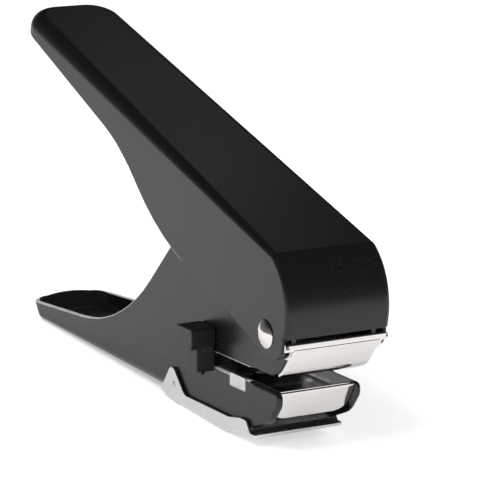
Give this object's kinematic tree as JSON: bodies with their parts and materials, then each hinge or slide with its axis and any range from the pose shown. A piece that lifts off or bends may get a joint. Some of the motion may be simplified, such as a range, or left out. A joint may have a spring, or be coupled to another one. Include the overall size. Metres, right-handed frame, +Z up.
{
  "type": "id card slot punch",
  "caption": "Hand-lever punch that cuts a round-ended slot near a card's edge, with a sliding depth stop and a hinged chip tray.",
  "frame": {"origin": "centre of the chip tray's flat underside, on the punch's middle plane", "axes": "+X to the mouth of the throat, +Y to the side away from the knob, +Z up"},
  "size_m": [0.182, 0.0418, 0.1047],
  "materials": {
    "black_paint": "satin",
    "chrome": "polished",
    "steel": "ground",
    "spring_steel": "drawn",
    "black_plastic": "matte"
  },
  "bodies": {
    "body": {"body_shell": "black_paint", "upper_nose_plate": "chrome", "lower_nose_plate": "chrome", "die_block": "steel", "die_rivets": "steel", "stripper_plate": "steel", "punch_guide": "steel", "guide_rivets": "steel", "spring_seat": "steel", "return_spring": "spring_steel", "stop_pin": "steel"},
    "lever": {"lever_shell": "black_paint", "drive_arm": "steel", "pivot_pin": "chrome", "pivot_washers": "steel", "pivot_sleeve": "steel", "drive_pin": "steel"},
    "punch": {"punch_blade": "steel", "punch_holder": "steel", "punch_dowels": "steel"},
    "tray": {"chip_tray": "chrome"},
    "depth_stop": {"depth_stop_bar": "steel", "depth_stop_knob": "black_plastic", "depth_stop_cap": "black_plastic", "depth_stop_screw": "steel"}
  },
  "joints": [
    {"name": "lever_hinge", "type": "hinge", "parent": "body", "child": "lever", "pos_m": [0.04187, 0, 0.03799], "axis": [0, -1, 0], "range_deg": [0, 16.5], "stiffness_Nm_per_rad": 3, "springref_deg": -8.59, "deforming": ["return_spring"]},
    {"name": "punch_slide", "type": "slide", "parent": "body", "child": "punch", "axis": [0.0523, 0, -0.9986], "range_m": [0, 0.0065]},
    {"name": "tray_hinge", "type": "hinge", "parent": "body", "child": "tray", "pos_m": [-0.01704, 0, 0.00597], "axis": [0, 1, 0], "range_deg": [0, 60]},
    {"name": "depth_stop_slide", "type": "slide", "parent": "body", "child": "depth_stop", "axis": [0.9986, 0, 0.0523], "range_m": [0, 0.008]}
  ],
  "couplings": [
    {"joint": "punch_slide", "follows": "lever_hinge", "m_per_rad": 0.02233}
  ]
}
